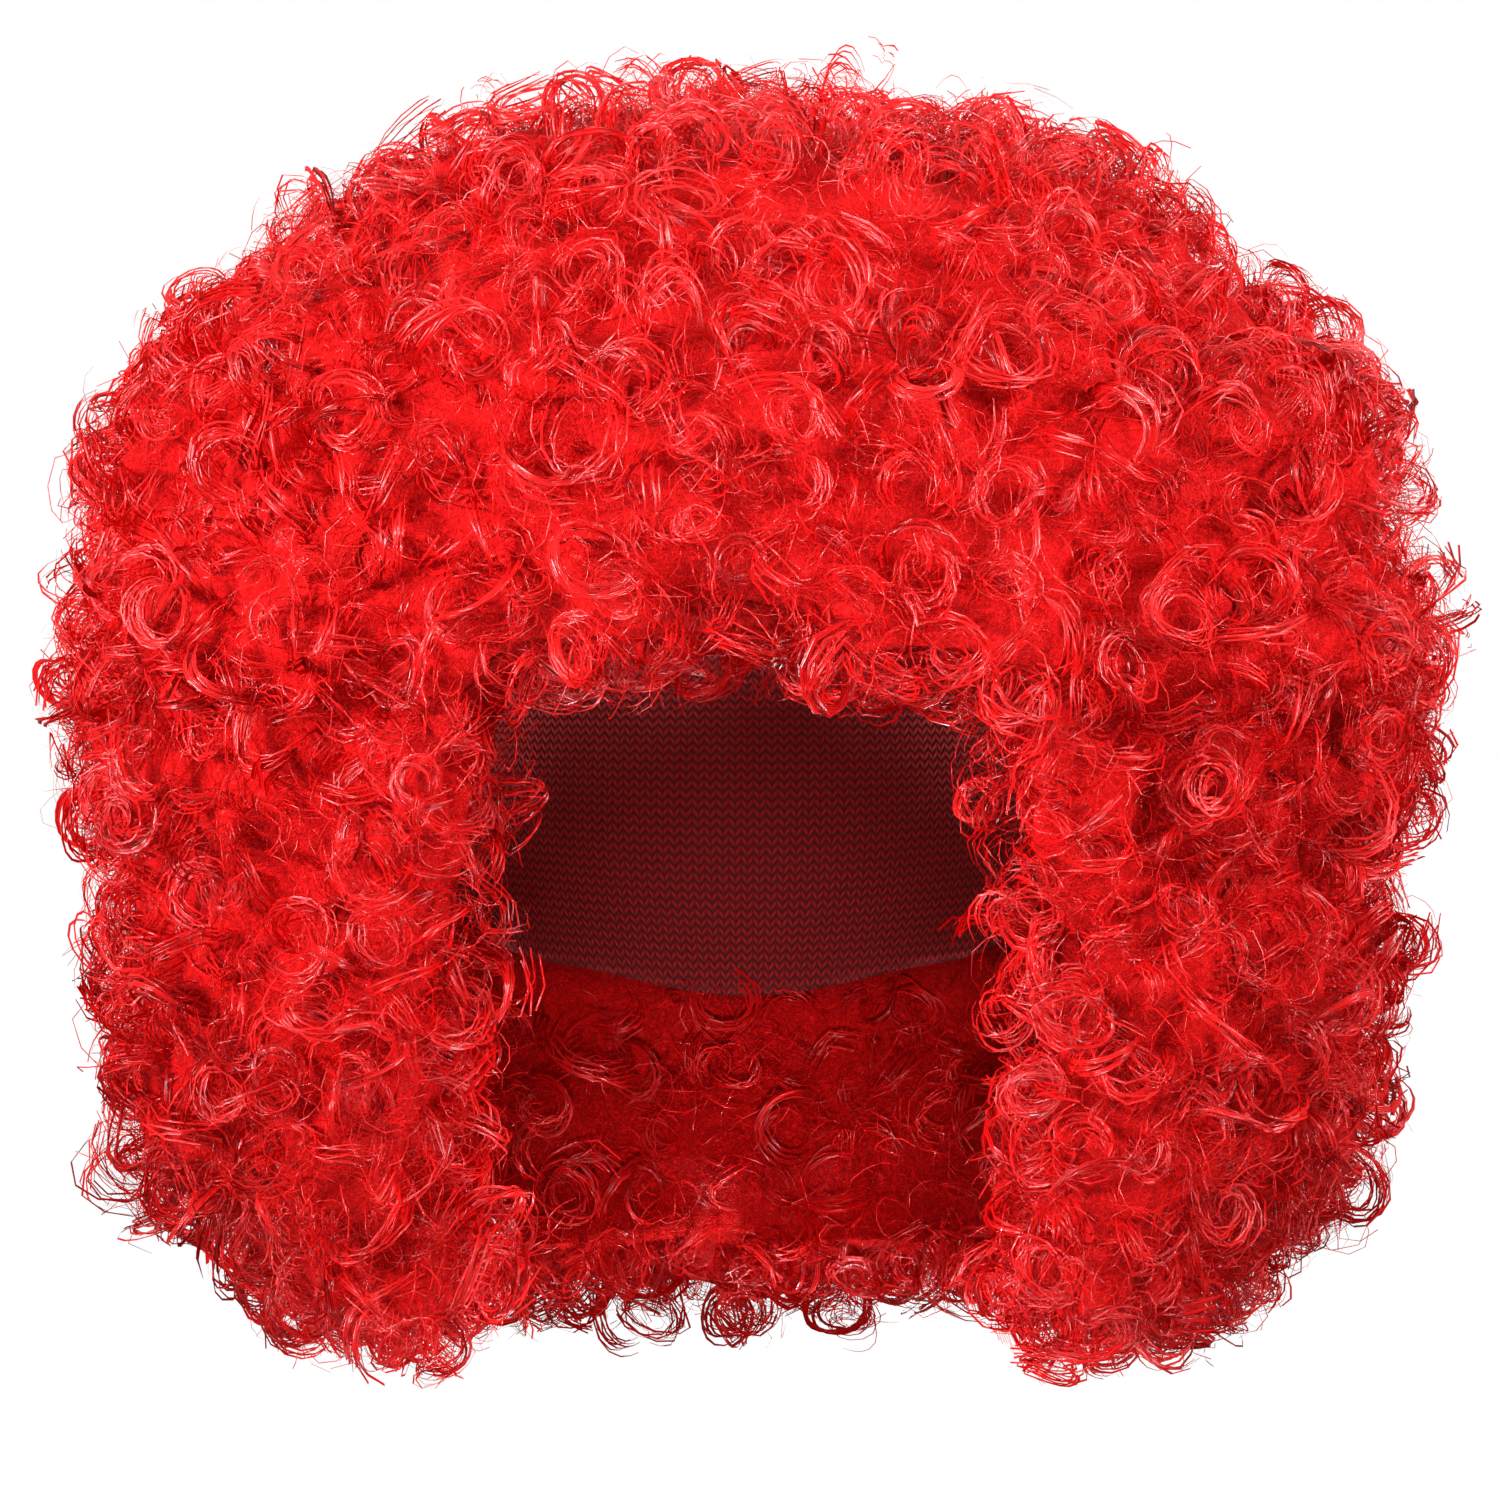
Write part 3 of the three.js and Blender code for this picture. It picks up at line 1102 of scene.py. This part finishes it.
@dataclass
class HairKind:
    """One kind of hair: the fibres it is made of, their finish, how round they look and how they grow."""

    label: str
    tree: GrowthTree
    strands: StrandSet
    finish: FibreFinish
    roundness: float
    sizes: GrowthSizes

    def __post_init__(self) -> None:
        """Makes the fibres and the material, once for all rows."""
        self.fibres = self.strands.collection()
        self.material = self.finish.material()

    def grow(self, row: RowSurface, surface: bpy.types.Object, seed: int) -> None:
        """Grows this hair on a row's surface as one piece.

        Args:
            row: The row.
            surface: Its surface.
            seed: The piece's own seed.
        """
        inputs = {
            **self.sizes.inputs(),
            "Kinds": self.strands.kinds,
            "Variants": self.strands.variants,
            "Seed": seed,
            "Strands": self.fibres,
            "Fibre": self.material,
        }
        mesh = self.tree.grow(surface, inputs)
        FibreComb(self.strands.steps, self.roundness).comb(mesh)
        settle(new_object(f"{row.prefix}{self.label}_{row.node}", mesh), FIBRE_SLOT, row.node)

    def put_away(self) -> None:
        """Removes the fibres that the pieces were copied from."""
        for fibre in list(self.fibres.objects):
            bpy.data.objects.remove(fibre)
        bpy.data.collections.remove(self.fibres)


@dataclass
class CurledHair:
    """The fibres on the weft rows: ring locks, shiny bands and loose tufts, with frizz between them.

    The nape row hangs free below the cap, so it has hair on its inside as well.
    """

    rings: StrandSet = StrandSet(
        name="ring_fibre",
        kinds=12,
        variants=3,
        steps=16,
        width=0.50 * MM,
        radius=(6.4 * MM, 9.8 * MM),
        turns=(0.95, 1.5),
        rise=(1.0 * MM, 6.0 * MM),
        depth=(7 * MM, 12 * MM),
        closing=(0.0, 0.45),
        wobble=0.07,
        seed=11,
    )
    ring_sizes: LockSizes = LockSizes(
        spacing=15.8 * MM,
        fibres=10,
        smallest=0.72,
        largest=1.3,
        tilt=math.radians(75),
        loose_lean=math.radians(9),
        loose_spin=math.radians(28),
        band=1.7 * MM,
    )
    tufts: StrandSet = StrandSet(
        name="tuft_fibre",
        kinds=12,
        variants=3,
        steps=8,
        width=0.44 * MM,
        radius=(5 * MM, 9 * MM),
        turns=(0.5, 0.85),
        rise=(2 * MM, 10 * MM),
        depth=(2 * MM, 7 * MM),
        closing=(-0.2, 0.5),
        wobble=0.10,
        seed=13,
    )
    tuft_sizes: LockSizes = LockSizes(
        spacing=11 * MM,
        fibres=8,
        smallest=0.7,
        largest=1.2,
        tilt=math.radians(90),
        loose_lean=math.radians(8),
        loose_spin=math.radians(18),
        band=1.8 * MM,
    )
    wisps: StrandSet = StrandSet(
        name="frizz_fibre",
        kinds=16,
        variants=1,
        steps=8,
        width=0.23 * MM,
        radius=(3.5 * MM, 8 * MM),
        turns=(0.4, 0.95),
        rise=(2 * MM, 9 * MM),
        depth=(0.0, 4 * MM),
        closing=(-0.3, 0.3),
        wobble=0.1,
        seed=12,
    )
    wisp_sizes: FrizzSizes = FrizzSizes(
        density=48000.0,
        smallest=0.6,
        largest=1.2,
        lowest=-4 * MM,
        highest=5 * MM,
    )
    bands: StrandSet = StrandSet(
        name="band_fibre",
        kinds=10,
        variants=3,
        steps=16,
        width=1.0 * MM,
        radius=(6.0 * MM, 9.5 * MM),
        turns=(0.75, 1.25),
        rise=(1.0 * MM, 6.0 * MM),
        depth=(6 * MM, 10 * MM),
        closing=(0.0, 0.35),
        wobble=0.05,
        seed=17,
    )
    band_sizes: LockSizes = LockSizes(
        spacing=24 * MM,
        fibres=5,
        smallest=0.7,
        largest=1.2,
        tilt=math.radians(75),
        loose_lean=math.radians(7),
        loose_spin=math.radians(16),
        band=1.3 * MM,
    )
    lock_finish: FibreFinish = FibreFinish(name="shiny_red_lock", streaks=2)
    wisp_finish: FibreFinish = FibreFinish()
    # The bands have a deeper painted shade in the gaps between their streaks.
    band_finish: FibreFinish = FibreFinish(
        name="shiny_red_band", streaks=3, gap=(0.45, 0.002, 0.003), relief=0.20 * MM, roughness=0.22
    )
    lock_roundness: float = math.radians(35)
    wisp_roundness: float = math.radians(55)
    band_roundness: float = math.radians(40)
    inside_sink: float = 2 * MM
    inside_share: float = 0.72
    inside_cuts: int = 3
    kind_seed: int = 10

    def kinds(self) -> list[HairKind]:
        """Makes the kinds of hair that every row has.

        Returns:
            The kinds, in the order they grow.
        """
        locks, frizz = BundledLocks("bundled_locks"), Frizz("frizz")
        return [
            HairKind("curls", locks, self.rings, self.lock_finish, self.lock_roundness, self.ring_sizes),
            HairKind("tufts", locks, self.tufts, self.lock_finish, self.lock_roundness, self.tuft_sizes),
            HairKind("frizz", frizz, self.wisps, self.wisp_finish, self.wisp_roundness, self.wisp_sizes),
            HairKind("bands", locks, self.bands, self.band_finish, self.band_roundness, self.band_sizes),
        ]

    def rows(self) -> list[RowSurface]:
        """Names the surfaces that carry hair.

        Returns:
            The outside of every row, and the inside of the nape row.
        """
        inside = RowSurface(
            NAPE_NODE,
            HairSide.INSIDE,
            prefix="inside_",
            sink=self.inside_sink,
            share=self.inside_share,
            cuts=self.inside_cuts,
        )
        return [*(RowSurface(node) for node in ROW_NODES), inside]

    def build(self) -> None:
        """Grows every kind of hair on every surface."""
        trees = {node: tree_of(node) for node in (CAP_NODE, *ROW_NODES)}
        kinds = self.kinds()
        for number, row in enumerate(self.rows(), start=1):
            surface = row.build(trees)
            for order, kind in enumerate(kinds):
                kind.grow(row, surface, number + self.kind_seed * order)
            bpy.data.objects.remove(surface)
        for kind in kinds:
            kind.put_away()


@dataclass
class Underhair:
    """The mass of hair under the curls, as one closed lumpy form.

    It lies under the rows' solids by its sink, deeper at their ends, and less deep within reach of the cap.
    """

    finish: UnderhairFinish = field(default_factory=UnderhairFinish)
    voxel: float = 5 * MM
    sink: float = 9 * MM
    end_sink: float = 8 * MM
    cap_sink: float = 3 * MM
    cap_reach: float = 7 * MM
    lump: float = 4 * MM
    lump_size: float = 12 * MM
    smoothing: int = 4
    smooth_share: float = 0.5

    def build(self) -> None:
        """Joins the rows into one skin, draws it in under the curls and roughens it."""
        solids = new_object("underhair_solids", mesh_of(merged_copy(*ROW_NODES), "underhair_solids"))
        remesh = solids.modifiers.new("one_skin", "REMESH")
        remesh.mode = "VOXEL"
        remesh.voxel_size = self.voxel
        skin = evaluated(solids)
        bpy.data.objects.remove(solids)
        self.draw_in(skin)
        dress(skin, self.finish.material())
        settle(new_object("underhair", skin), FIBRE_SLOT, *ROW_NODES)

    def draw_in(self, skin: bpy.types.Mesh) -> None:
        """Moves the skin inwards, less where it lies on the cap, and adds lumps.

        Args:
            skin: The remeshed skin.
        """
        cap = tree_of(CAP_NODE)
        sheet = bmesh.new()
        sheet.from_mesh(skin)
        sheet.normal_update()
        for vertex in sheet.verts:
            near_cap = cap.find_nearest(vertex.co, self.cap_reach)[0] is not None
            lumps = self.lump * noise.noise(vertex.co / self.lump_size) + swell(vertex.co)
            sink = self.sink + self.end_sink * facing_middle(vertex) - lumps
            vertex.co -= vertex.normal * (self.cap_sink if near_cap else sink)
        every_way = {"use_axis_x": True, "use_axis_y": True, "use_axis_z": True}
        for _ in range(self.smoothing):
            bmesh.ops.smooth_vert(sheet, verts=sheet.verts, factor=self.smooth_share, **every_way)
        sheet.to_mesh(skin)
        sheet.free()


@dataclass
class Cap:
    """The knitted cap that the rows are sewn to.

    Two of its triangles that are flat and square enough become one face before the faces are split.
    """

    finish: KnitFinish = field(default_factory=KnitFinish)
    levels: int = 1
    flat_enough: float = math.radians(30)
    square_enough: float = math.radians(60)

    def build(self) -> None:
        """Smooths a copy of the cap's solid."""
        sheet = merged_copy(CAP_NODE)
        limits = {"angle_face_threshold": self.flat_enough, "angle_shape_threshold": self.square_enough}
        bmesh.ops.join_triangles(sheet, faces=sheet.faces, **limits)
        solid = new_object("cap_solid", mesh_of(sheet, "cap_solid"))
        smooth = solid.modifiers.new("smooth", "SUBSURF")
        smooth.levels = smooth.render_levels = self.levels
        knit = evaluated(solid)
        bpy.data.objects.remove(solid)
        dress(knit, self.finish.material())
        settle(new_object("knit_cap", knit), KNIT_SLOT, CAP_NODE)


@dataclass(frozen=True)
class SoftBox:
    """A square soft light that stands at a place and faces another."""

    name: str
    place: Place
    aim: Place
    size: float
    watts: float
    fan_degrees: float

    def build(self) -> None:
        """Adds the light, out of the camera's sight."""
        light = bpy.data.lights.new(self.name, "AREA")
        light.shape = "SQUARE"
        light.size = self.size
        light.energy = self.watts
        light.spread = math.radians(self.fan_degrees)
        box = bpy.data.objects.new(self.name, light)
        box.location = self.place
        box.visible_camera = False
        way = Vector(self.aim) - Vector(self.place)
        box.rotation_euler = way.to_track_quat("-Z", "Y").to_euler()
        bpy.context.scene.collection.objects.link(box)


# Points of the wig that the lights face: its upper front, its middle and the inside of the nape.
UPPER: Place = (0.0, -0.05, 0.05)
MIDDLE: Place = (0.0007, 0.0, -0.090)
NAPE: Place = (0.0, 0.05, -0.165)

# The first two favour the upper hair, and the last two reach into the hollow.
LIGHTS = (
    SoftBox("key_light", place=(-0.92, -0.70, 0.13), aim=UPPER, size=0.45, watts=2.50, fan_degrees=45),
    SoftBox("fill_light", place=(0.92, -0.60, 0.15), aim=UPPER, size=0.45, watts=1.70, fan_degrees=45),
    SoftBox("back_light", place=(0.10, 1.65, 0.20), aim=MIDDLE, size=1.00, watts=34.0, fan_degrees=180),
    SoftBox("cap_light", place=(0.0, -0.04, -0.58), aim=MIDDLE, size=0.08, watts=0.22, fan_degrees=32),
    SoftBox("hollow_light", place=(0.0, -0.95, -0.26), aim=NAPE, size=0.06, watts=0.017, fan_degrees=10),
)


@dataclass
class Studio:
    """The camera at the photo's angle, soft light and a pale floor.

    The picture shows the frame's width at the distance of the wig's middle. The backdrop gives ambient light
    from below and overhead light from above.
    """

    distance: float = 1.5
    frame_width: float = 0.354
    sensor_mm: float = 36.0
    clip: Span = (0.01, 20.0)
    floor_level: float = -0.60
    floor_radius: float = 1.5
    floor_sides: int = 96
    ambient: float = 0.08
    overhead: float = 0.58
    backdrop: float = 1.0

    def build(self) -> None:
        """Sets up the whole studio."""
        self.camera()
        for light in LIGHTS:
            light.build()
        self.world()
        self.floor()
        bpy.context.scene.view_settings.view_transform = "Standard"

    def camera(self) -> None:
        """Looks at the opening from straight in front."""
        lens = bpy.data.cameras.new("front_camera")
        lens.sensor_width = self.sensor_mm
        lens.lens = self.sensor_mm * self.distance / self.frame_width
        lens.clip_start, lens.clip_end = self.clip
        camera = bpy.data.objects.new("front_camera", lens)
        camera.location = Vector(MIDDLE) - Vector((0.0, self.distance, 0.0))
        camera.rotation_euler = (math.pi / 2, 0.0, 0.0)
        bpy.context.scene.collection.objects.link(camera)
        bpy.context.scene.camera = camera

    def world(self) -> None:
        """Makes a white backdrop that lights the wig softly, and more from above than from below."""
        world = bpy.data.worlds.new("studio")
        world.use_nodes = True
        sheet = NodeSheet(world.node_tree)
        seen = Value(sheet, sheet.out("ShaderNodeLightPath", "Is Camera Ray"))
        upward = sheet.split(sheet.out("ShaderNodeTexCoord", "Generated"))[2] * 0.5 + 0.5
        dome = self.ambient + (self.overhead - self.ambient) * upward * upward
        inputs = {"Color": WHITE, "Strength": seen * (self.backdrop - dome) + dome}
        glow = sheet.out("ShaderNodeBackground", "Background", None, inputs)
        sheet.node("ShaderNodeOutputWorld", None, {"Surface": glow})
        bpy.context.scene.world = world

    def floor(self) -> None:
        """Lays a round floor below the wig that throws no light back on it."""
        disc = bmesh.new()
        bmesh.ops.create_circle(disc, cap_ends=True, radius=self.floor_radius, segments=self.floor_sides)
        for vertex in disc.verts:
            vertex.co.z = self.floor_level
        mesh = mesh_of(disc, "floor")
        mesh.materials.append(FloorFinish().material())
        floor = new_object("floor", mesh)
        floor.visible_diffuse = False
        floor.visible_glossy = False


def main() -> None:
    """Builds the studio and the wig."""
    logging.basicConfig(level=logging.INFO, format="%(name)s %(message)s")
    Studio().build()
    Cap().build()
    Underhair().build()
    CurledHair().build()


if __name__ == "__main__":
    main()
